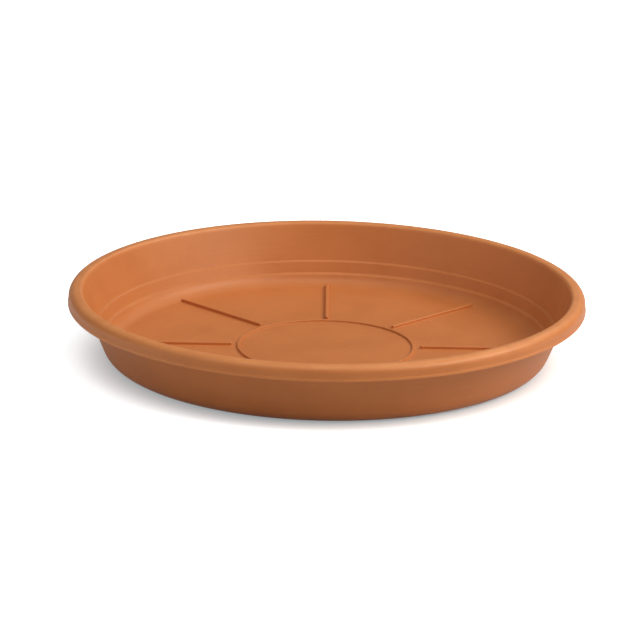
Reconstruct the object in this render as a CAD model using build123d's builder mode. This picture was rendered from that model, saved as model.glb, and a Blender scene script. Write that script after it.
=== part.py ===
from build123d import *
from math import atan, cos, degrees, radians, tan
import os

# Round plant saucer: one thin moulding with a flared wall, a rolled rim that hangs
# as a skirt, two small shoulders inside, and a floor with a ring and radial ribs.
# Millimetres, +Z up, origin at the centre of the plane that the foot stands on.

# Overall size
rim_diameter = 400.0
height = 54.0

# Rolled rim
rim_width = 10.6
crest_thickness = 2.2
crest_outer_rounding = 6.0
crest_inner_rounding = 3.0
skirt_drop = 11.4
skirt_thickness = 2.0
toe_flare = 0.4
toe_height = 1.4
toe_slope_height = 1.2
toe_rounding = 0.3
rim_root_rounding = 1.2

# Flared wall
wall_thickness = 2.0  # measured level, from face to face
wall_overhang = 31.1  # rim edge out from the point where the wall's line meets the ground
upper_shoulder_height = 25.6
upper_shoulder_width = 1.1
lower_shoulder_height = 16.7
lower_shoulder_width = 1.5
shoulder_slope = 45.0  # degrees below level

# Floor and foot
floor_thickness = 2.4
foot_height = 5.1
foot_width = 4.0
foot_inner_slope = 60.0  # degrees
foot_rounding = 15.0
foot_edge_rounding = 0.6
cove_rounding = 12.0
cove_share = 0.98  # most of the wall under the lower shoulder that the cove may take up

# Ring and ribs that hold the pot off the floor
ring_diameter = 135.6  # to the middle of the ring
ring_width = 2.6
ring_height = 1.5
ring_rounding = 0.6
rib_count = 8
rib_width = 2.6
rib_height = 2.5
rib_rounding = 0.8
rib_gap = 3.6  # from the ring to the ribs' inner ends
rib_reach = 3.6  # from the start of the cove to the ribs' outer ends

# Radii and heights that follow
rim_radius = rim_diameter / 2
floor_top = foot_height + floor_thickness
floor_middle = foot_height + floor_thickness / 2
ring_top = floor_top + ring_height
rib_top = floor_top + rib_height
crest_underside = height - crest_thickness
skirt_bottom = height - skirt_drop
skirt_outer_radius = rim_radius - toe_flare
skirt_inner_radius = skirt_outer_radius - skirt_thickness
wall_foot_radius = rim_radius - wall_overhang
wall_slope = (rim_radius - rim_width + wall_thickness - wall_foot_radius) / height
wall_lean = degrees(atan(wall_slope))
both_shoulders = upper_shoulder_width + lower_shoulder_width
upper_shoulder_end = upper_shoulder_height - upper_shoulder_width * tan(radians(shoulder_slope))
lower_shoulder_end = lower_shoulder_height - lower_shoulder_width * tan(radians(shoulder_slope))
corner_slope = tan(radians((90 - wall_lean) / 2))  # of a level line's rounding into the wall
cove_room = (lower_shoulder_end - floor_top) / cos(radians(wall_lean))
cove_radius = min(cove_rounding, cove_share * cove_room / corner_slope)
foot_land_outer = wall_foot_radius - foot_rounding * corner_slope
foot_land_inner = foot_land_outer - foot_width
foot_inner_run = foot_height / tan(radians(foot_inner_slope))


def wall_outside(level):
    """Radius of the wall's outer face at a height above the ground."""
    return wall_foot_radius + level * wall_slope


def wall_inside(level, thickening=0):
    """Radius of the wall's inner face, moved in by the shoulders passed so far."""
    return wall_outside(level) - wall_thickness - thickening


# Half section of the moulding, as corners (radius, height) and their roundings,
# from the middle of the underside out over the rim and back along the inside
section = [
    ((0, foot_height), 0),
    ((foot_land_inner - foot_inner_run, foot_height), foot_edge_rounding),
    ((foot_land_inner, 0), foot_edge_rounding),
    ((wall_foot_radius, 0), foot_rounding),
    ((wall_outside(crest_underside), crest_underside), rim_root_rounding),
    ((skirt_inner_radius, crest_underside), crest_outer_rounding - skirt_thickness),
    ((skirt_inner_radius, skirt_bottom), toe_rounding),
    ((rim_radius, skirt_bottom), toe_rounding),
    ((rim_radius, skirt_bottom + toe_height), toe_rounding),
    ((skirt_outer_radius, skirt_bottom + toe_height + toe_slope_height), toe_rounding),
    ((skirt_outer_radius, height), crest_outer_rounding),
    ((wall_inside(height), height), crest_inner_rounding),
    ((wall_inside(upper_shoulder_height), upper_shoulder_height), 0),
    ((wall_inside(upper_shoulder_end, upper_shoulder_width), upper_shoulder_end), 0),
    ((wall_inside(lower_shoulder_height, upper_shoulder_width), lower_shoulder_height), 0),
    ((wall_inside(lower_shoulder_end, both_shoulders), lower_shoulder_end), 0),
    ((wall_inside(floor_top, both_shoulders), floor_top), cove_radius),
    ((0, floor_top), 0),
]

# Rib along +X, with round ends, from the ring out into the foot of the cove
rib_start = (ring_diameter + ring_width) / 2 + rib_gap
cove_start = wall_inside(floor_top, both_shoulders) - cove_radius * corner_slope
rib_end = cove_start + rib_reach

with BuildPart() as rib:
    with BuildSketch(Plane.XY.offset(floor_middle)):
        with Locations(((rib_start + rib_end) / 2, 0)):
            SlotOverall(rib_end - rib_start, rib_width)
    extrude(amount=rib_top - floor_middle)
    fillet(rib.faces().sort_by(Axis.Z)[-1].edges(), rib_rounding)

with BuildPart() as saucer:
    with BuildSketch(Plane.XZ):
        with BuildLine():
            FilletPolyline(
                [corner for corner, rounding in section],
                radius=[rounding for corner, rounding in section],
                close=True,
            )
        make_face()
    revolve(axis=Axis.Z)
    with BuildSketch(Plane.XZ) as ring:
        with Locations((ring_diameter / 2, floor_middle)):
            Rectangle(
                ring_width,
                ring_top - floor_middle,
                align=(Align.CENTER, Align.MIN),
            )
        fillet(ring.vertices().group_by(Axis.Y)[-1], ring_rounding)
    revolve(axis=Axis.Z)
    with PolarLocations(0, rib_count):
        add(rib.part)

os.makedirs("parts", exist_ok=True)
saucer.part.label = "saucer"
export_step(saucer.part, "parts/saucer.step")
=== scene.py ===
"""A round terracotta-coloured plant saucer, one plastic moulding, in a white studio.

Lengths are metres, +Z is up, and the origin is the middle of the plane that the
saucer's foot stands on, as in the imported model.
"""

from __future__ import annotations

import logging
import math
from dataclasses import dataclass, field
from enum import Enum

import bpy
from mathutils import Matrix, Vector

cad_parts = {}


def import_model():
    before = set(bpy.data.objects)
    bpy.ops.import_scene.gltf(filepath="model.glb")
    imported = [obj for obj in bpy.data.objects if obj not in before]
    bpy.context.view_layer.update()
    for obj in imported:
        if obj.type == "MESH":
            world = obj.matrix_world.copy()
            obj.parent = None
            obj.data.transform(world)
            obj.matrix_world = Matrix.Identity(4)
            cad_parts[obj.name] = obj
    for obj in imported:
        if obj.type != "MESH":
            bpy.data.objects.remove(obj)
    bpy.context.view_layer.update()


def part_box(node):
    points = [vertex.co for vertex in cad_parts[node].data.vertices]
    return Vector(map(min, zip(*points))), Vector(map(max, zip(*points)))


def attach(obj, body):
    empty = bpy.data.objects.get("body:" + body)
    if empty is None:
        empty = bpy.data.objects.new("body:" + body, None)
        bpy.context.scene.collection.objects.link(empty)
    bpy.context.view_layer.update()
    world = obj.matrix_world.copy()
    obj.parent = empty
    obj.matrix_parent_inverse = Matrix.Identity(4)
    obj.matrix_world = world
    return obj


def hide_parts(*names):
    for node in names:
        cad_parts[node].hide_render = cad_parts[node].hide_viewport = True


log = logging.getLogger("saucer")

MM = 0.001
# Points nearer to each other than this are one point
SAME_PLACE = MM / 1000
# Half the thickness of the slab that picks a cross-section's points
PICK_REACH = MM / 100
# Multiplied by this, a place keeps its level parts and loses its height
LEVEL = (1.0, 1.0, 0.0)


# Modelling helpers


def deselect_all() -> None:
    """Leaves nothing selected, in object mode."""
    if bpy.context.object and bpy.context.object.mode != "OBJECT":
        bpy.ops.object.mode_set(mode="OBJECT")
    bpy.ops.object.select_all(action="DESELECT")


def make_active(piece: bpy.types.Object) -> None:
    """Selects one object alone and makes it the active one.

    Args:
        piece: The object to work on.
    """
    deselect_all()
    piece.select_set(True)
    bpy.context.view_layer.objects.active = piece


def select_section(piece: bpy.types.Object, across: float, from_side: float) -> None:
    """Selects the vertices of a cross-section square to X, and goes into edit mode.

    Args:
        piece: The object whose mesh is searched.
        across: Place of the cross-section along X.
        from_side: Lowest Y that is selected.
    """
    make_active(piece)
    bpy.ops.object.mode_set(mode="EDIT")
    bpy.ops.mesh.select_mode(type="VERT")
    bpy.ops.mesh.select_all(action="DESELECT")
    bpy.ops.object.mode_set(mode="OBJECT")
    for vertex in piece.data.vertices:
        in_plane = abs(vertex.co.x - across) <= PICK_REACH
        vertex.select = in_plane and vertex.co.y >= from_side - PICK_REACH
    bpy.ops.object.mode_set(mode="EDIT")


def merge_doubles() -> None:
    """Selects the whole mesh in edit mode, and merges the vertices that coincide."""
    bpy.ops.mesh.select_all(action="SELECT")
    bpy.ops.mesh.remove_doubles(threshold=SAME_PLACE)


@dataclass(frozen=True)
class Corner:
    """A corner of an outline, and the radius that rounds it.

    Args:
        across: Distance from the axis or centre plane.
        up: Height above the ground.
        rounding: Radius of the rounding, 0 for a sharp corner.
    """

    across: float
    up: float
    rounding: float = 0.0

    def place(self) -> Vector:
        """The corner as a point in the XZ plane."""
        return Vector((self.across, 0.0, self.up))


@dataclass
class OutlinePen:
    """Draws an outline in the XZ plane, by extruding and spinning a single vertex.

    Args:
        name: Name of the object that holds the outline.
        arc_step: Largest turn of one facet of a rounding, in radians.
        fewest_steps: Fewest facets of a rounding.
    """

    name: str
    arc_step: float = math.radians(9.0)
    fewest_steps: int = 2

    def start(self, corner: Corner) -> bpy.types.Object:
        """Adds a mesh of one vertex at the outline's first corner.

        Args:
            corner: Where the outline begins.

        Returns:
            The object, in edit mode with its vertex selected.
        """
        deselect_all()
        bpy.ops.mesh.primitive_plane_add(size=MM)
        outline = bpy.context.object
        outline.name = self.name
        outline.data.name = self.name
        bpy.ops.object.mode_set(mode="EDIT")
        bpy.ops.mesh.select_mode(type="VERT")
        bpy.ops.mesh.select_all(action="SELECT")
        bpy.ops.mesh.merge(type="CENTER")
        bpy.ops.transform.translate(value=corner.place())
        return outline

    def line_to(self, here: Vector, there: Vector) -> None:
        """Extrudes the selected vertex along a straight stretch.

        Args:
            here: Where the vertex is.
            there: Where the stretch ends.
        """
        if (there - here).length > SAME_PLACE:
            bpy.ops.mesh.extrude_vertices_move(TRANSFORM_OT_translate={"value": there - here})

    def draw(self, corners: list[Corner]) -> bpy.types.Object:
        """Draws the whole outline, with its roundings as arcs.

        Args:
            corners: The corners in order, the first and last of them sharp.

        Returns:
            The object that holds the outline, in edit mode.
        """
        outline = self.start(corners[0])
        here = corners[0].place()
        for before, corner, after in zip(corners, corners[1:], corners[2:]):
            arriving = (corner.place() - before.place()).normalized()
            leaving = (after.place() - corner.place()).normalized()
            turn = arriving.angle(leaving)
            trim = corner.rounding * math.tan(turn / 2)
            arc_start = corner.place() - arriving * trim
            self.line_to(here, arc_start)
            here = arc_start
            if corner.rounding > 0:
                side = arriving.cross(leaving).normalized()
                centre = arc_start + side.cross(arriving) * corner.rounding
                steps = max(self.fewest_steps, math.ceil(turn / self.arc_step))
                # The spin operator turns clockwise about its axis
                bpy.ops.mesh.spin(steps=steps, angle=turn, center=centre, axis=-side)
                here = corner.place() + leaving * trim
        self.line_to(here, corners[-1].place())
        return outline


# The saucer


@dataclass
class Dish:
    """The moulding's body of revolution: foot, floor, ring, flared wall and rolled rim.

    Args:
        rim_radius: Out to the toe of the skirt.
        height: From the ground to the top of the rim.
        rim_width: Level width of the rolled rim, skirt and all.
        crest_thickness: Thickness of the rim's top.
        crest_outer_rounding: Radius from the top over to the skirt.
        crest_inner_rounding: Radius from the top over to the inner wall.
        skirt_drop: From the top of the rim to the skirt's lower edge.
        skirt_thickness: Thickness of the skirt.
        toe_flare: How far the toe stands out of the skirt.
        toe_height: Height of the toe's upright face.
        toe_slope_height: Height over which the toe slopes back to the skirt.
        toe_rounding: Radius of the toe's corners.
        rim_root_rounding: Radius where the wall meets the rim's underside.
        wall_thickness: Measured level, from face to face.
        wall_overhang: Rim edge out from the point where the wall's line meets the ground.
        upper_shoulder_height: From the ground to the upper shoulder's top.
        upper_shoulder_width: How far the upper shoulder stands in.
        lower_shoulder_height: From the ground to the lower shoulder's top.
        lower_shoulder_width: How far the lower shoulder stands in.
        shoulder_rounding: Radius of the shoulders' corners.
        floor_thickness: Thickness of the floor.
        foot_height: From the ground to the floor's underside.
        foot_width: Width of the flat ring that the saucer stands on.
        foot_inner_slope: Slope of the foot's inner side.
        foot_rounding: Radius from the flat ring up into the wall.
        foot_edge_rounding: Radius of the corners on the underside.
        cove_rounding: Radius from the floor up into the inner wall.
        ring_radius: Out to the middle of the raised ring.
        ring_width: Width of the raised ring.
        ring_height: Height of the raised ring above the floor.
        ring_rounding: Radius of the ring's upper corners.
        ring_root_rounding: Radius where the ring meets the floor.
        gate_dimple_radius: Radius of the dimple round the injection gate.
        gate_dimple_depth: Depth of the dimple.
        gate_radius: Radius of the gate's mark.
        gate_height: How far the mark stands out in the dimple.
        turn_steps: Facets in a whole turn.
    """

    rim_radius: float
    height: float
    rim_width: float = 10.6 * MM
    crest_thickness: float = 2.2 * MM
    crest_outer_rounding: float = 6.0 * MM
    crest_inner_rounding: float = 3.0 * MM
    skirt_drop: float = 11.4 * MM
    skirt_thickness: float = 2.0 * MM
    toe_flare: float = 0.4 * MM
    toe_height: float = 1.4 * MM
    toe_slope_height: float = 1.2 * MM
    toe_rounding: float = 0.3 * MM
    rim_root_rounding: float = 1.2 * MM
    wall_thickness: float = 2.0 * MM
    wall_overhang: float = 31.1 * MM
    upper_shoulder_height: float = 25.6 * MM
    upper_shoulder_width: float = 1.1 * MM
    lower_shoulder_height: float = 16.7 * MM
    lower_shoulder_width: float = 1.5 * MM
    shoulder_rounding: float = 0.5 * MM
    floor_thickness: float = 2.4 * MM
    foot_height: float = 5.1 * MM
    foot_width: float = 4.0 * MM
    foot_inner_slope: float = math.radians(60.0)
    foot_rounding: float = 15.0 * MM
    foot_edge_rounding: float = 0.6 * MM
    cove_rounding: float = 12.0 * MM
    ring_radius: float = 67.8 * MM
    ring_width: float = 2.6 * MM
    ring_height: float = 1.5 * MM
    ring_rounding: float = 0.6 * MM
    ring_root_rounding: float = 0.4 * MM
    gate_dimple_radius: float = 7.0 * MM
    gate_dimple_depth: float = 0.6 * MM
    gate_radius: float = 1.8 * MM
    gate_height: float = 0.4 * MM
    turn_steps: int = 384

    @property
    def floor_top(self) -> float:
        """Height of the floor's upper face."""
        return self.foot_height + self.floor_thickness

    @property
    def wall_foot_radius(self) -> float:
        """Radius where the wall's outer line meets the ground."""
        return self.rim_radius - self.wall_overhang

    @property
    def wall_slope(self) -> float:
        """How far the wall leans out for each unit of height."""
        crest = self.rim_radius - self.rim_width + self.wall_thickness
        return (crest - self.wall_foot_radius) / self.height

    @property
    def both_shoulders(self) -> float:
        """How much the two shoulders together thicken the wall."""
        return self.upper_shoulder_width + self.lower_shoulder_width

    @property
    def cove_start(self) -> float:
        """Radius at which the flat floor begins to curve up into the wall."""
        corner = self.wall_inside(self.floor_top, self.both_shoulders)
        return corner - self.trim(self.cove_rounding)

    def wall_outside(self, level: float) -> float:
        """Radius of the wall's outer face.

        Args:
            level: Height above the ground.

        Returns:
            The radius at that height.
        """
        return self.wall_foot_radius + level * self.wall_slope

    def wall_inside(self, level: float, thickening: float = 0.0) -> float:
        """Radius of the wall's inner face.

        Args:
            level: Height above the ground.
            thickening: Widths of the shoulders above that height.

        Returns:
            The radius at that height.
        """
        return self.wall_outside(level) - self.wall_thickness - thickening

    def trim(self, rounding: float) -> float:
        """Length that a rounding takes off the level line where it meets the wall.

        Args:
            rounding: Radius of the rounding between the level line and the wall.

        Returns:
            The length from the sharp corner to the start of the rounding.
        """
        lean = math.atan(self.wall_slope)
        return rounding * math.tan((math.pi / 2 - lean) / 2)

    def underside(self) -> list[Corner]:
        """Corners from the middle of the underside out to the ground."""
        land_outer = self.wall_foot_radius - self.trim(self.foot_rounding)
        land_inner = land_outer - self.foot_width
        foot_run = self.foot_height / math.tan(self.foot_inner_slope)
        dimple_top = self.foot_height + self.gate_dimple_depth
        edge = self.foot_edge_rounding
        return [
            Corner(0, dimple_top - self.gate_height),
            Corner(self.gate_radius, dimple_top - self.gate_height, self.gate_height / 2),
            Corner(self.gate_radius, dimple_top, self.gate_height / 2),
            Corner(self.gate_dimple_radius - self.gate_dimple_depth, dimple_top, edge),
            Corner(self.gate_dimple_radius, self.foot_height, edge),
            Corner(land_inner - foot_run, self.foot_height, edge),
            Corner(land_inner, 0, edge),
            Corner(self.wall_foot_radius, 0, self.foot_rounding),
        ]

    def rim(self) -> list[Corner]:
        """Corners of the rolled rim, from under the crest round to the inner wall."""
        under = self.height - self.crest_thickness
        bottom = self.height - self.skirt_drop
        outer = self.rim_radius - self.toe_flare
        inner = outer - self.skirt_thickness
        toe = self.toe_rounding
        toe_top = bottom + self.toe_height
        return [
            Corner(self.wall_outside(under), under, self.rim_root_rounding),
            Corner(inner, under, self.crest_outer_rounding - self.skirt_thickness),
            Corner(inner, bottom, toe),
            Corner(self.rim_radius, bottom, toe),
            Corner(self.rim_radius, toe_top, toe),
            Corner(outer, toe_top + self.toe_slope_height, toe),
            Corner(outer, self.height, self.crest_outer_rounding),
            Corner(self.wall_inside(self.height), self.height, self.crest_inner_rounding),
        ]

    def inner_wall(self) -> list[Corner]:
        """Corners of the two shoulders and the cove, down to the floor."""
        one, both = self.upper_shoulder_width, self.both_shoulders
        upper, lower = self.upper_shoulder_height, self.lower_shoulder_height
        # The shoulders slope by 45 degrees, so each is as high as it is wide
        upper_end = upper - self.upper_shoulder_width
        lower_end = lower - self.lower_shoulder_width
        edge = self.shoulder_rounding
        return [
            Corner(self.wall_inside(upper), upper, edge),
            Corner(self.wall_inside(upper_end, one), upper_end, edge),
            Corner(self.wall_inside(lower, one), lower, edge),
            Corner(self.wall_inside(lower_end, both), lower_end, edge),
            Corner(self.wall_inside(self.floor_top, both), self.floor_top, self.cove_rounding),
        ]

    def floor(self) -> list[Corner]:
        """Corners across the floor, over the ring and in to the middle."""
        outer = self.ring_radius + self.ring_width / 2
        inner = self.ring_radius - self.ring_width / 2
        top = self.floor_top + self.ring_height
        root = self.ring_root_rounding
        return [
            Corner(outer, self.floor_top, root),
            Corner(outer, top, self.ring_rounding),
            Corner(inner, top, self.ring_rounding),
            Corner(inner, self.floor_top, root),
            Corner(0, self.floor_top),
        ]

    def build(self) -> bpy.types.Object:
        """Spins the half section about the upright axis.

        Returns:
            The closed body, in object mode.
        """
        pen = OutlinePen("saucer_moulding")
        body = pen.draw(self.underside() + self.rim() + self.inner_wall() + self.floor())
        bpy.ops.mesh.select_all(action="SELECT")
        bpy.ops.mesh.spin(
            steps=self.turn_steps, angle=2 * math.pi, center=(0, 0, 0), axis=(0, 0, 1)
        )
        merge_doubles()
        bpy.ops.mesh.normals_make_consistent(inside=False)
        bpy.ops.object.mode_set(mode="OBJECT")
        return body


@dataclass
class Ribs:
    """The raised ribs that run out over the floor from the ring to the wall.

    Args:
        dish: The body that carries them.
        count: Ribs in the whole turn.
        width: Width of a rib.
        height: Height of a rib above the floor.
        rounding: Radius of a rib's upper edges.
        root_rounding: Radius where a rib meets the floor.
        sunk: How far a rib reaches down into the floor, which it is united with.
        buried: How far the root's outer edge lies under the floor, for a clean union.
        gap: From the ring to the ribs' inner ends.
        reach: From the start of the cove to the ribs' outer ends.
        end_steps: Facets in a rib's round end.
    """

    dish: Dish
    count: int = 8
    width: float = 2.6 * MM
    height: float = 2.5 * MM
    rounding: float = 0.8 * MM
    root_rounding: float = 0.4 * MM
    sunk: float = 0.4 * MM
    buried: float = MM / 50
    gap: float = 3.6 * MM
    reach: float = 3.6 * MM
    end_steps: int = 12

    @property
    def start(self) -> float:
        """Radius of the ribs' inner ends."""
        return self.dish.ring_radius + self.dish.ring_width / 2 + self.gap

    @property
    def top(self) -> float:
        """Height of the ribs' upper faces."""
        return self.dish.floor_top + self.height

    @property
    def end(self) -> float:
        """Radius of the ribs' outer ends, a little way into the cove."""
        return self.dish.cove_start + self.reach

    def build_one(self) -> bpy.types.Object:
        """Models the rib that lies along +X, with round ends.

        Returns:
            The closed rib, in object mode.
        """
        half = self.width / 2
        flare = half + self.root_rounding
        root = self.dish.floor_top - self.buried
        foot = self.dish.floor_top - self.sunk
        half_section = [
            Corner(0, self.top),
            Corner(half, self.top, self.rounding),
            Corner(half, root, self.root_rounding),
            Corner(flare, root),
            Corner(flare, foot),
            Corner(0, foot),
        ]
        inner, outer = self.start + half, self.end - half
        rib = OutlinePen("rib").draw(half_section)
        bpy.ops.object.mode_set(mode="OBJECT")
        rib.data.transform(Matrix.Rotation(math.pi / 2, 4, "Z"))
        bpy.ops.object.mode_set(mode="EDIT")
        bpy.ops.mesh.select_all(action="SELECT")
        self.turn_end(0.0, -1)
        bpy.ops.transform.translate(value=(inner, 0, 0))
        select_section(rib, inner, -flare)
        bpy.ops.mesh.extrude_edges_move(TRANSFORM_OT_translate={"value": (outer - inner, 0, 0)})
        select_section(rib, outer, 0.0)
        self.turn_end(outer, 1)
        bpy.ops.mesh.normals_make_consistent(inside=False)
        bpy.ops.object.mode_set(mode="OBJECT")
        return rib

    def turn_end(self, middle: float, side: int) -> None:
        """Spins the selected half section half a turn into a rib's round end.

        Args:
            middle: Place of the end's upright axis along X.
            side: 1 for the outer end, -1 for the inner end.
        """
        bpy.ops.mesh.spin(
            steps=self.end_steps, angle=math.pi, center=(middle, 0, 0), axis=(0, 0, side)
        )
        merge_doubles()

    def build(self) -> bpy.types.Object:
        """Copies the first rib round the floor and joins the set.

        Returns:
            The ribs as one object, each a closed shape of its own.
        """
        first = self.build_one()
        ribs = [first]
        for turn in range(1, self.count):
            rib = first.copy()
            rib.data = first.data.copy()
            rib.data.transform(Matrix.Rotation(2 * math.pi * turn / self.count, 4, "Z"))
            bpy.context.collection.objects.link(rib)
            ribs.append(rib)
        make_active(first)
        for rib in ribs:
            rib.select_set(True)
        bpy.ops.object.join()
        first.name = "ribs"
        return first


@dataclass
class Saucer:
    """The whole saucer: one moulding, made of the dish and the ribs on its floor.

    Args:
        dish: The body of revolution.
        ribs: The ribs on the floor.
        smooth_below: Largest angle between faces that are shaded as one surface.
    """

    dish: Dish
    ribs: Ribs
    smooth_below: float = math.radians(50.0)

    def build(self) -> bpy.types.Object:
        """Unites the dish and the ribs, and smooths the surface.

        Returns:
            The finished moulding.
        """
        body = self.dish.build()
        ribs = self.ribs.build()
        make_active(body)
        union = body.modifiers.new("ribs", "BOOLEAN")
        union.operation = "UNION"
        union.solver = "EXACT"
        union.object = ribs
        bpy.ops.object.modifier_apply(modifier=union.name)
        bpy.data.objects.remove(ribs)
        make_active(body)
        bpy.ops.object.mode_set(mode="EDIT")
        merge_doubles()
        bpy.ops.object.mode_set(mode="OBJECT")
        bpy.ops.object.shade_smooth_by_angle(angle=self.smooth_below)
        weighted = body.modifiers.new("weighted", "WEIGHTED_NORMAL")
        weighted.mode = "FACE_AREA"
        weighted.keep_sharp = True
        bpy.ops.object.modifier_apply(modifier=weighted.name)
        return body


# Finishes


@dataclass
class NodeBench:
    """Places and links the nodes of one material.

    Args:
        material: The material whose nodes are laid out.
        spacing: From one node to the next.
    """

    material: bpy.types.Material
    spacing: int = 200
    column: int = field(default=0, init=False)

    @classmethod
    def clean(cls, name: str) -> NodeBench:
        """Makes a new material with an empty node tree.

        Args:
            name: Name of the material.

        Returns:
            A bench for it.
        """
        material = bpy.data.materials.new(name)
        material.use_nodes = True
        material.node_tree.nodes.clear()
        return cls(material)

    def node(self, kind: str, label: str, **settings: object) -> bpy.types.Node:
        """Adds a node.

        Args:
            kind: Blender's name of the node type.
            label: What the node does, shown on it.
            settings: Properties of the node to set.

        Returns:
            The node.
        """
        made = self.material.node_tree.nodes.new(kind)
        made.label = label
        made.location = (self.column * self.spacing, 0)
        self.column += 1
        for key, value in settings.items():
            setattr(made, key, value)
        return made

    def link(self, source: bpy.types.NodeSocket, target: bpy.types.NodeSocket) -> None:
        """Links an output to an input."""
        self.material.node_tree.links.new(source, target)

    def noise(
        self,
        vector: bpy.types.NodeSocket,
        label: str,
        scale: float,
        detail: float = 2.0,
        roughness: float = 0.5,
    ) -> bpy.types.NodeSocket:
        """Adds a noise pattern.

        Args:
            vector: Coordinates that the pattern follows.
            label: What the pattern is for.
            scale: Features to the metre.
            detail: Octaves of finer noise.
            roughness: Strength of the finer octaves.

        Returns:
            The pattern's value.
        """
        made = self.node("ShaderNodeTexNoise", label)
        self.link(vector, made.inputs["Vector"])
        made.inputs["Scale"].default_value = scale
        made.inputs["Detail"].default_value = detail
        made.inputs["Roughness"].default_value = roughness
        return made.outputs["Fac"]

    def map_range(
        self,
        value: bpy.types.NodeSocket,
        label: str,
        source: tuple[float, float],
        target: tuple[float, float],
    ) -> bpy.types.NodeSocket:
        """Maps a value from one range to another, and stops it at the ends.

        Args:
            value: The value to map.
            label: What the result is.
            source: Range of the value.
            target: Range of the result.

        Returns:
            The mapped value.
        """
        made = self.node("ShaderNodeMapRange", label, interpolation_type="SMOOTHSTEP")
        self.link(value, made.inputs["Value"])
        for name, number in zip(("From Min", "From Max", "To Min", "To Max"), source + target):
            made.inputs[name].default_value = number
        return made.outputs["Result"]

    def math(
        self,
        operation: str,
        label: str,
        first: bpy.types.NodeSocket,
        second: bpy.types.NodeSocket | float,
    ) -> bpy.types.NodeSocket:
        """Adds a sum or other two-part calculation.

        Args:
            operation: Blender's name of the operation.
            label: What the result is.
            first: The first value.
            second: The second value, linked or fixed.

        Returns:
            The result.
        """
        made = self.node("ShaderNodeMath", label, operation=operation)
        self.link(first, made.inputs[0])
        if isinstance(second, float):
            made.inputs[1].default_value = second
        else:
            self.link(second, made.inputs[1])
        return made.outputs["Value"]

    def vector(
        self,
        operation: str,
        label: str,
        first: bpy.types.NodeSocket,
        second: bpy.types.NodeSocket | tuple[float, float, float] | None = None,
    ) -> bpy.types.NodeSocket:
        """Adds a calculation on vectors.

        Args:
            operation: Blender's name of the operation.
            label: What the result is.
            first: The first vector.
            second: The second vector, linked or fixed, where the operation has one.

        Returns:
            The resulting vector.
        """
        made = self.node("ShaderNodeVectorMath", label, operation=operation)
        self.link(first, made.inputs[0])
        if isinstance(second, tuple):
            made.inputs[1].default_value = second
        elif second is not None:
            self.link(second, made.inputs[1])
        return made.outputs["Vector"]

    def from_axis(self, place: bpy.types.NodeSocket) -> bpy.types.NodeSocket:
        """Measures the distance from the saucer's axis.

        Args:
            place: Place on the piece.

        Returns:
            The distance.
        """
        level = self.vector("MULTIPLY", "level", place, LEVEL)
        length = self.node("ShaderNodeVectorMath", "from the axis", operation="LENGTH")
        self.link(level, length.inputs[0])
        return length.outputs["Value"]

    def mix(
        self,
        factor: bpy.types.NodeSocket,
        label: str,
        first: bpy.types.NodeSocket | tuple[float, float, float],
        second: bpy.types.NodeSocket | tuple[float, float, float],
    ) -> bpy.types.NodeSocket:
        """Mixes two colours.

        Args:
            factor: Share of the second colour.
            label: What the mix is.
            first: The first colour, linked or fixed.
            second: The second colour, linked or fixed.

        Returns:
            The mixed colour.
        """
        made = self.node("ShaderNodeMix", label, data_type="RGBA")
        self.link(factor, made.inputs["Factor"])
        # The node's number, vector and colour sockets share their names, so the colour
        # sockets go by their places: 6 and 7 going in, and 2 coming out
        for socket, colour in zip((made.inputs[6], made.inputs[7]), (first, second)):
            if isinstance(colour, tuple):
                socket.default_value = (*colour, 1.0)
            else:
                self.link(colour, socket)
        return made.outputs[2]


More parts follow.
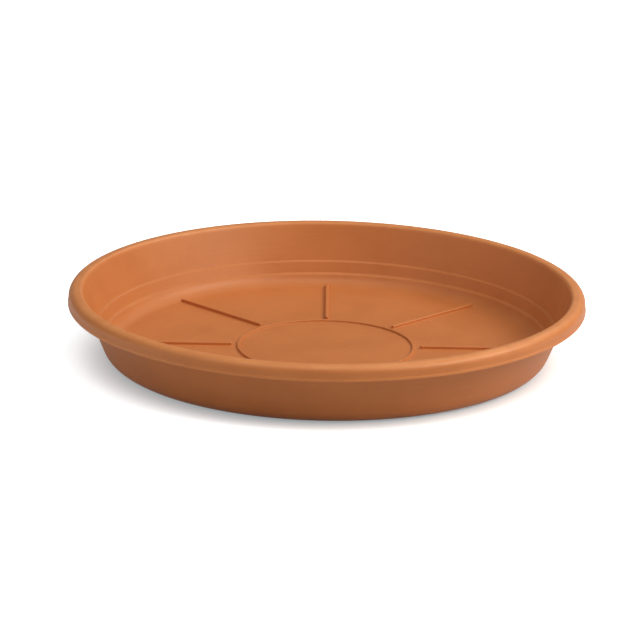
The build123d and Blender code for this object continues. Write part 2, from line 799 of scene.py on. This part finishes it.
@dataclass(frozen=True)
class TerracottaPlastic:
    """Terracotta-coloured moulded plastic: fine grain, faint mould rings, and paler edges that are
    part wear and part painted highlight.

    Args:
        crest_height: Height of the top of the rim, where the paler wear and painted highlight are
            strongest.
        toe_radius: Radius of the skirt's toe, which stands a little proud.
        rib_height: Height of the ribs' tops, on which pots stand.
        rib_radius: Radius within which the ribs lie.
        colour: Colour of the plastic, linear.
        deep: Colour of its darker clouds, linear.
        pale: Colour of its paler specks and mould rings, linear.
        wear_and_highlight: Paler colour of the crest, toe and rib tops, linear: part wear, part
            painted highlight.
        gloss_tint: Warmth that the pigment just under the skin gives the sheen.
        roughness: Roughness of the plastic as it leaves the mould.
        rubbed_polish: How much less rough the paler edges are.
        sheen_spread: How far the roughness goes up and down with the clouds.
        ior: Index of refraction.
        cloud_scale: Colour clouds to the metre.
        cloud_range: Noise values between which the darker clouds fade out.
        sheen_range: Noise values between which the roughness goes up.
        pigment_scale: Pigment specks to the metre.
        speck_range: Noise values between which a speck fades in.
        speck_strength: Share of the paler colour in a speck.
        grain_scale: Grains to the metre.
        grain_depth: Depth of the grain.
        crest_fade: Height over which the wear and painted highlight of the rim's top fade out.
        toe_fade: Distance over which the wear and painted highlight of the toe fade out.
        rib_fade: Height over which the wear and painted highlight of the ribs' tops fade out.
        floor_fade: Distance over which it stops beyond the ribs' outer ends.
        toe_wear_and_highlight: Paler wear and painted highlight on the toe, from 0 to 1.
        rib_wear_and_highlight: Paler wear and painted highlight on the ribs' tops, from 0 to 1.
        wear_and_highlight_patch_scale: Uneven patches of the wear and painted highlight to the
            metre.
        wear_and_highlight_patch_range: Noise values between which a patch of the wear and painted
            highlight fades in.
        least_wear_and_highlight: Share of the wear and painted highlight that is left between the
            patches.
        mark_scale: Mould rings to the metre.
        mark_breaks: How often a mould ring breaks up along its length.
        mark_range: Noise values between which a mould ring fades in.
        mark_strength: Share of the paler colour in a mould ring.
    """

    crest_height: float
    toe_radius: float
    rib_height: float
    rib_radius: float
    colour: tuple[float, float, float] = (0.552, 0.180, 0.052)
    deep: tuple[float, float, float] = (0.515, 0.163, 0.045)
    pale: tuple[float, float, float] = (0.600, 0.213, 0.070)
    # The paler colour of the crest, toe and rib tops is part wear and part painted highlight
    wear_and_highlight: tuple[float, float, float] = (0.665, 0.252, 0.083)
    gloss_tint: tuple[float, float, float] = (1.0, 0.86, 0.66)
    roughness: float = 0.44
    rubbed_polish: float = 0.10
    sheen_spread: float = 0.03
    ior: float = 1.49
    cloud_scale: float = 26.0
    cloud_range: tuple[float, float] = (0.3, 0.65)
    sheen_range: tuple[float, float] = (0.3, 0.7)
    pigment_scale: float = 1400.0
    speck_range: tuple[float, float] = (0.5, 0.8)
    speck_strength: float = 0.3
    grain_scale: float = 1700.0
    grain_depth: float = 0.02 * MM
    crest_fade: float = 4.0 * MM
    toe_fade: float = 0.3 * MM
    rib_fade: float = 0.7 * MM
    floor_fade: float = 1.0 * MM
    toe_wear_and_highlight: float = 0.3
    rib_wear_and_highlight: float = 0.15
    wear_and_highlight_patch_scale: float = 70.0
    wear_and_highlight_patch_range: tuple[float, float] = (0.3, 0.65)
    least_wear_and_highlight: float = 0.6
    mark_scale: float = 420.0
    mark_breaks: float = 3.0
    mark_range: tuple[float, float] = (0.5, 0.75)
    mark_strength: float = 0.3

    def make(self) -> bpy.types.Material:
        """Builds the material.

        Returns:
            The material, on Object coordinates.
        """
        bench = NodeBench.clean("terracotta_plastic")
        place = bench.node("ShaderNodeTexCoord", "place").outputs["Object"]
        clouds = bench.noise(place, "colour clouds", self.cloud_scale, detail=3.0, roughness=0.55)
        # Paler crest, toe and rib tops: part wear, part painted highlight, which also lowers the
        # roughness there
        wear_and_highlight = self.wear_and_highlight_edges(bench, place)
        colour = self.mottled_colour(bench, place, clouds)
        colour = bench.mix(wear_and_highlight, "rubbed plastic", colour, self.wear_and_highlight)
        spread = (self.roughness - self.sheen_spread, self.roughness + self.sheen_spread)
        sheen = bench.map_range(clouds, "cloudy sheen", self.sheen_range, spread)
        polish = bench.math("MULTIPLY", "polish", wear_and_highlight, self.rubbed_polish)
        grain = bench.noise(place, "moulded grain", self.grain_scale, detail=3.0, roughness=0.6)
        bump = bench.node("ShaderNodeBump", "grain")
        bump.inputs["Strength"].default_value = 1.0
        bump.inputs["Distance"].default_value = self.grain_depth
        bench.link(grain, bump.inputs["Height"])
        shader = bench.node("ShaderNodeBsdfPrincipled", "plastic")
        shader.inputs["IOR"].default_value = self.ior
        shader.inputs["Specular Tint"].default_value = (*self.gloss_tint, 1.0)
        bench.link(colour, shader.inputs["Base Color"])
        bench.link(
            bench.math("SUBTRACT", "rubbed sheen", sheen, polish), shader.inputs["Roughness"]
        )
        bench.link(bump.outputs["Normal"], shader.inputs["Normal"])
        output = bench.node("ShaderNodeOutputMaterial", "surface")
        bench.link(shader.outputs["BSDF"], output.inputs["Surface"])
        return bench.material

    def mottled_colour(
        self,
        bench: NodeBench,
        place: bpy.types.NodeSocket,
        clouds: bpy.types.NodeSocket,
    ) -> bpy.types.NodeSocket:
        """Colours the plastic in soft clouds, with faint mould rings and specks.

        Args:
            bench: The material's bench.
            place: Place on the saucer.
            clouds: Pattern of the clouds.

        Returns:
            The colour.
        """
        cloudy = bench.map_range(clouds, "clouds", self.cloud_range, (0.0, 1.0))
        colour = bench.mix(cloudy, "clouded plastic", self.deep, self.colour)
        rings = self.mould_rings(bench, place)
        marks = bench.map_range(rings, "tool marks", self.mark_range, (0.0, self.mark_strength))
        colour = bench.mix(marks, "marked plastic", colour, self.pale)
        pigment = bench.noise(place, "pigment", self.pigment_scale, detail=1.0)
        specks = bench.map_range(pigment, "specks", self.speck_range, (0.0, self.speck_strength))
        return bench.mix(specks, "specked plastic", colour, self.pale)

    def mould_rings(
        self, bench: NodeBench, place: bpy.types.NodeSocket
    ) -> bpy.types.NodeSocket:
        """Draws the faint rings that the turned mould leaves, broken up along their length.

        Args:
            bench: The material's bench.
            place: Place on the saucer.

        Returns:
            The pattern's value.
        """
        split = bench.node("ShaderNodeSeparateXYZ", "split rings")
        bench.link(place, split.inputs[0])
        across = bench.math("ADD", "across", bench.from_axis(place), split.outputs["Z"])
        across = bench.math("MULTIPLY", "fine across", across, self.mark_scale)
        step = bench.node("ShaderNodeCombineXYZ", "step across")
        bench.link(across, step.inputs["Z"])
        level = bench.vector("MULTIPLY", "way round", place, LEVEL)
        around = bench.vector("NORMALIZE", "round", level)
        around = bench.vector("MULTIPLY", "long round", around, (self.mark_breaks,) * 3)
        rings = bench.vector("ADD", "rings", around, step.outputs["Vector"])
        return bench.noise(rings, "mould rings", scale=1.0, detail=2.0, roughness=0.6)

    def wear_and_highlight_edges(
        self, bench: NodeBench, place: bpy.types.NodeSocket
    ) -> bpy.types.NodeSocket:
        """Finds the crest, the skirt's toe and the tops of the ribs, which are painted paler: part
        wear, part painted highlight.

        Args:
            bench: The material's bench.
            place: Place on the saucer.

        Returns:
            How far the surface is painted paler with wear and highlight, from 0 to 1.
        """
        split = bench.node("ShaderNodeSeparateXYZ", "split")
        bench.link(place, split.inputs[0])
        height = split.outputs["Z"]
        radius = bench.from_axis(place)
        # The crest, the toe and the rib tops are painted paler: part wear, part painted highlight
        crest_edge = (self.crest_height - self.crest_fade, self.crest_height)
        crest = bench.map_range(height, "crest", crest_edge, (0.0, 1.0))
        toe_edge = (self.toe_radius - self.toe_fade, self.toe_radius)
        toe = bench.map_range(radius, "toe", toe_edge, (0.0, self.toe_wear_and_highlight))
        rib_edge = (self.rib_height - self.rib_fade, self.rib_height)
        tops = bench.map_range(height, "rib tops", rib_edge, (0.0, self.rib_wear_and_highlight))
        floor_edge = (self.rib_radius, self.rib_radius + self.floor_fade)
        within = bench.map_range(radius, "on the floor", floor_edge, (1.0, 0.0))
        tops = bench.math("MULTIPLY", "ribs alone", tops, within)
        edges = bench.math("MAXIMUM", "outer edges", crest, toe)
        edges = bench.math("MAXIMUM", "edges", edges, tops)
        uneven = bench.noise(place, "uneven rubbing", self.wear_and_highlight_patch_scale, detail=3.0, roughness=0.6)
        uneven = bench.map_range(uneven, "wear_and_highlight_patches", self.wear_and_highlight_patch_range, (self.least_wear_and_highlight, 1.0))
        return bench.math("MULTIPLY", "wear_and_highlight", edges, uneven)


@dataclass(frozen=True)
class StudioWhite:
    """White paper for the floor and backdrop: it takes a shadow, reads as white, and has a painted
    shade where the foot meets it.

    Args:
        whiteness: Colour of the paper.
        seen_whiteness: Colour that the camera sees, which makes the cast shadow paler.
        lift: Glow that only the camera sees, also through glass, which brings the lit paper
            to white and keeps its shadow pale and neutral.
        far_lift: The glow far from the saucer, where the lamps don't reach.
        lift_reach: Distances from the saucer's axis between which the one glow turns into the
            other.
        gloss_share: Share of the glow that gloss sees, which brings the paper to white there.
        painted_contact_shade_reach: How far the painted shade where the foot meets the paper
            reaches.
        painted_contact_shade_tone: Tone of the paper in the deepest of that painted shade.
        painted_contact_shade_range: Openness of the paper between which the painted shade fades
            out.
        painted_contact_shade_samples: Rays that measure how open the paper is, for the painted
            shade.
    """

    whiteness: float = 0.7
    seen_whiteness: float = 1.2
    lift: tuple[float, float, float] = (0.56, 0.62, 0.64)
    far_lift: tuple[float, float, float] = (0.9, 0.9, 0.9)
    lift_reach: tuple[float, float] = (0.8, 3.0)
    gloss_share: float = 0.19
    painted_contact_shade_reach: float = 30.0 * MM
    painted_contact_shade_tone: float = 0.52
    painted_contact_shade_range: tuple[float, float] = (0.2, 0.95)
    painted_contact_shade_samples: int = 8

    def make(self) -> bpy.types.Material:
        """Builds the material, which lets a camera under the floor see the saucer.

        Returns:
            The material.
        """
        bench = NodeBench.clean("studio_white")
        paths = bench.node("ShaderNodeLightPath", "ray")
        # Painted shade: an occlusion node darkens the paper's colour and glow near the foot
        painted_shade_occlusion = bench.node(
            "ShaderNodeAmbientOcclusion", "foot and paper", samples=self.painted_contact_shade_samples
        )
        painted_shade_occlusion.inputs["Distance"].default_value = self.painted_contact_shade_reach
        shade = bench.map_range(
            painted_shade_occlusion.outputs["AO"], "contact shade", self.painted_contact_shade_range, (self.painted_contact_shade_tone, 1.0)
        )
        seen = bench.math("MULTIPLY", "seen tone", shade, self.seen_whiteness)
        paper = bench.node("ShaderNodeBsdfDiffuse", "paper")
        plain = (self.whiteness,) * 3
        tone = bench.mix(paths.outputs["Is Camera Ray"], "paper tone", plain, seen)
        bench.link(tone, paper.inputs["Color"])
        both = bench.node("ShaderNodeAddShader", "paper and lift")
        bench.link(paper.outputs["BSDF"], both.inputs[0])
        bench.link(self.glow(bench, paths, shade), both.inputs[1])
        through = bench.node("ShaderNodeBsdfTransparent", "from below")
        sides = bench.node("ShaderNodeMixShader", "sides")
        under = bench.node("ShaderNodeNewGeometry", "side of the paper").outputs["Backfacing"]
        bench.link(under, sides.inputs["Fac"])
        bench.link(both.outputs["Shader"], sides.inputs[1])
        bench.link(through.outputs["BSDF"], sides.inputs[2])
        output = bench.node("ShaderNodeOutputMaterial", "surface")
        bench.link(sides.outputs["Shader"], output.inputs["Surface"])
        return bench.material

    def glow(
        self,
        bench: NodeBench,
        paths: bpy.types.Node,
        shade: bpy.types.NodeSocket,
    ) -> bpy.types.NodeSocket:
        """Makes the paper's glow for the camera, gloss and glass.

        Args:
            bench: The material's bench.
            paths: The node that tells kinds of ray apart.
            shade: Painted shade where the foot meets the paper.

        Returns:
            The glow.
        """
        seen = bench.math(
            "MAXIMUM", "seen", paths.outputs["Is Camera Ray"], paths.outputs["Is Transmission Ray"]
        )
        # The glow is darkened by the painted shade near the foot
        seen = bench.math("MULTIPLY", "shaded", seen, shade)
        gloss = bench.math("MULTIPLY", "gloss", paths.outputs["Is Glossy Ray"], self.gloss_share)
        place = bench.node("ShaderNodeTexCoord", "place").outputs["Object"]
        far = bench.map_range(bench.from_axis(place), "far off", self.lift_reach, (0.0, 1.0))
        glow = bench.node("ShaderNodeEmission", "white lift")
        bench.link(bench.mix(far, "lift", self.lift, self.far_lift), glow.inputs["Color"])
        bench.link(bench.math("MAXIMUM", "strength", seen, gloss), glow.inputs["Strength"])
        return glow.outputs["Emission"]


# The studio


class Tone(Enum):
    """Colour of a lamp's light, linear."""

    WHITE = (1.0, 1.0, 1.0)
    WARM = (1.0, 0.95, 0.87)
    WARMER = (1.0, 0.93, 0.82)


@dataclass(frozen=True)
class Lamp:
    """A soft rectangular lamp that faces the saucer.

    Args:
        name: Name of the lamp.
        azimuth: Degrees round from the camera's side, towards the right.
        elevation: Degrees above the floor.
        size: Length of its level sides, and of its other sides.
        power: Watts.
        tone: Colour of its light.
        distance: From the saucer.
    """

    name: str
    azimuth: float
    elevation: float
    size: tuple[float, float]
    power: float
    tone: Tone = Tone.WHITE
    distance: float = 2.5

    def place(self) -> None:
        """Adds the lamp to the scene."""
        data = bpy.data.lights.new(self.name, "AREA")
        data.shape = "RECTANGLE"
        data.size, data.size_y = self.size
        data.energy = self.power
        data.color = self.tone.value
        lamp = bpy.data.objects.new(self.name, data)
        around, up = math.radians(self.azimuth), math.radians(self.elevation)
        away = Vector(
            (math.sin(around) * math.cos(up), -math.cos(around) * math.cos(up), math.sin(up))
        )
        lamp.location = away * self.distance
        lamp.rotation_euler = away.to_track_quat("Z", "Y").to_euler()
        bpy.context.collection.objects.link(lamp)


@dataclass
class Studio:
    """The white floor and backdrop, the lamps round the saucer, and the camera.

    Args:
        floor_size: Length of the floor's sides.
        backdrop_radius: From the saucer's axis to the backdrop.
        backdrop_height: Height of the backdrop.
        backdrop_sides: Flat sides that the backdrop's round is made of.
        surroundings: Strength of the room's even light.
        elevation: Degrees that the camera looks down.
        distance: From the saucer's origin to the camera.
        lens: Focal length in millimetres.
        sensor: Width of the sensor in millimetres.
        far_limit: Furthest that the camera sees.
        aim_up: How far above the saucer's origin the camera aims, square to its view.
        aim_right: How far to the right of the origin it aims.
        roll: Degrees that the camera is turned anticlockwise about its view.
        lamps: The soft lamps.
    """

    floor_size: float = 30.0
    backdrop_radius: float = 14.0
    backdrop_height: float = 1.6
    backdrop_sides: int = 96
    surroundings: float = 0.125
    elevation: float = 17.4
    distance: float = 4.0
    lens: float = 290.2
    sensor: float = 36.0
    far_limit: float = 100.0
    aim_up: float = 27.9 * MM
    aim_right: float = -5.1 * MM
    roll: float = 1.0
    lamps: tuple[Lamp, ...] = (
        Lamp("key", azimuth=76.0, elevation=41.0, size=(2.5, 1.2), power=57.0, tone=Tone.WARM),
        Lamp("fill", azimuth=-60.0, elevation=42.0, size=(1.6, 1.6), power=8.5),
        Lamp("top", azimuth=10.0, elevation=76.0, size=(2.0, 2.0), power=19.0),
        Lamp("back", azimuth=150.0, elevation=45.0, size=(1.6, 1.6), power=6.0),
        Lamp("low", azimuth=-84.0, elevation=5.0, size=(2.2, 0.4), power=8.0, tone=Tone.WARM),
        Lamp(
            "low_right", azimuth=92.0, elevation=4.0, size=(2.0, 0.3), power=4.5, tone=Tone.WARMER
        ),
    )

    def lay_floor(self, paper: bpy.types.Material) -> None:
        """Lays the white floor that the saucer stands on.

        Args:
            paper: Material of the floor.
        """
        deselect_all()
        bpy.ops.mesh.primitive_plane_add(size=self.floor_size)
        floor = bpy.context.object
        floor.name = "studio_floor"
        floor.data.materials.append(paper)

    def raise_backdrop(self, paper: bpy.types.Material) -> None:
        """Stands a low white wall far round the saucer, which low views see behind it.

        Args:
            paper: Material of the wall.
        """
        deselect_all()
        bpy.ops.mesh.primitive_cylinder_add(
            vertices=self.backdrop_sides,
            radius=self.backdrop_radius,
            depth=self.backdrop_height,
            end_fill_type="NOTHING",
            location=(0, 0, self.backdrop_height / 2),
        )
        wall = bpy.context.object
        wall.name = "studio_backdrop"
        # The paper is seen through from its back, so its front faces the saucer
        bpy.ops.object.mode_set(mode="EDIT")
        bpy.ops.mesh.select_all(action="SELECT")
        bpy.ops.mesh.flip_normals()
        bpy.ops.object.mode_set(mode="OBJECT")
        wall.data.materials.append(paper)

    def light(self) -> None:
        """Lights the room evenly, and adds the lamps."""
        world = bpy.data.worlds.new("studio")
        world.use_nodes = True
        world.node_tree.nodes.clear()
        room = world.node_tree.nodes.new("ShaderNodeBackground")
        room.inputs["Color"].default_value = (1.0, 1.0, 1.0, 1.0)
        room.inputs["Strength"].default_value = self.surroundings
        output = world.node_tree.nodes.new("ShaderNodeOutputWorld")
        world.node_tree.links.new(room.outputs["Background"], output.inputs["Surface"])
        bpy.context.scene.world = world
        for lamp in self.lamps:
            lamp.place()

    def set_camera(self) -> None:
        """Sets the camera at the photograph's viewing angle."""
        up_angle = math.radians(self.elevation)
        place = Vector((0, -math.cos(up_angle), math.sin(up_angle))) * self.distance
        level = place.to_track_quat("Z", "Y").to_matrix()
        aim = level.col[0] * self.aim_right + level.col[1] * self.aim_up
        facing = (place - aim).to_track_quat("Z", "Y").to_matrix()
        data = bpy.data.cameras.new("camera")
        data.lens = self.lens
        data.sensor_width = self.sensor
        data.clip_end = self.far_limit
        camera = bpy.data.objects.new("camera", data)
        turned = facing @ Matrix.Rotation(math.radians(self.roll), 3, "Z")
        camera.matrix_world = Matrix.Translation(place) @ turned.to_4x4()
        bpy.context.collection.objects.link(camera)
        bpy.context.scene.camera = camera

    def set_up(self) -> None:
        """Sets up the whole studio."""
        paper = StudioWhite().make()
        self.lay_floor(paper)
        self.raise_backdrop(paper)
        self.light()
        self.set_camera()
        bpy.context.scene.view_settings.view_transform = "Standard"


def main() -> None:
    """Builds the scene and reports its pieces."""
    logging.basicConfig(level=logging.INFO, format="%(name)s: %(message)s")
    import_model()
    low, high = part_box("saucer")
    dish = Dish(rim_radius=(high.x - low.x) / 2, height=high.z)
    ribs = Ribs(dish)
    body = Saucer(dish, ribs).build()
    plastic = TerracottaPlastic(
        crest_height=dish.height,
        toe_radius=dish.rim_radius,
        rib_height=ribs.top,
        rib_radius=ribs.end,
    )
    body.data.materials.clear()
    body.data.materials.append(plastic.make())
    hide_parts("saucer")
    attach(body, "root")
    log.info("%s: %d faces", body.name, len(body.data.polygons))
    Studio().set_up()


if __name__ == "__main__":
    main()
